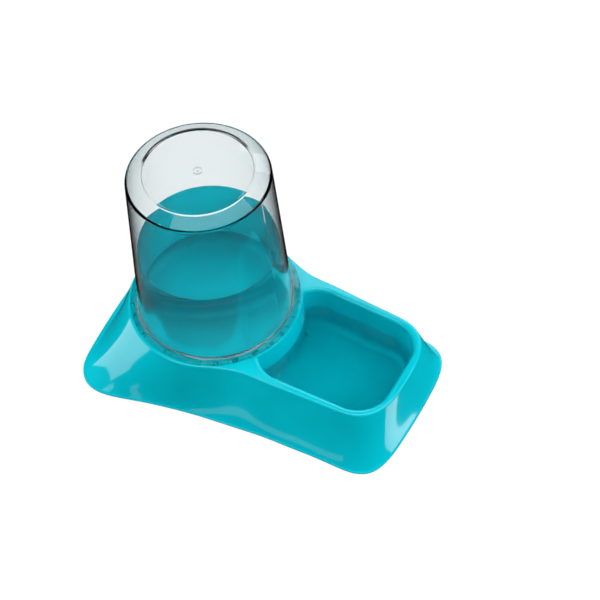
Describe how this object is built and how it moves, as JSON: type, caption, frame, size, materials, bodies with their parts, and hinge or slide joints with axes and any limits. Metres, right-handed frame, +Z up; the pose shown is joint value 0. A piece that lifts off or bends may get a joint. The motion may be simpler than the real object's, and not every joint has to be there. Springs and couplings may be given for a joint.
{
  "type": "gravity pet feeder",
  "caption": "Gravity pet waterer: flared one-piece base with a bowl and a round seat, and a clear upturned reservoir that lifts out and turns.",
  "frame": {"origin": "on the ground under the middle of the whole feeder", "axes": "+Z up, +X from the reservoir towards the bowl end, +Y to the left of that"},
  "size_m": [0.2688, 0.1942, 0.1935],
  "materials": {
    "base_plastic": "moulded gloss",
    "clear_plastic": "clear gloss",
    "foot_rubber": "matt",
    "seal_rubber": "satin"
  },
  "bodies": {
    "base": {"base_shell": "base_plastic", "foot_back_far": "foot_rubber", "foot_back_near": "foot_rubber", "foot_bowl_far": "foot_rubber", "foot_bowl_near": "foot_rubber"},
    "seal": {"seal_ring": "seal_rubber"},
    "cup": {"reservoir": "clear_plastic"}
  },
  "joints": [
    {"name": "reservoir_lift", "type": "slide", "parent": "base", "child": "seal", "axis": [0, 0, 1], "range_m": [0, 0.06]},
    {"name": "reservoir_turn", "type": "hinge", "parent": "seal", "child": "cup", "pos_m": [-0.04455, 0, 0.048], "axis": [0, 0, 1], "continuous": true}
  ]
}
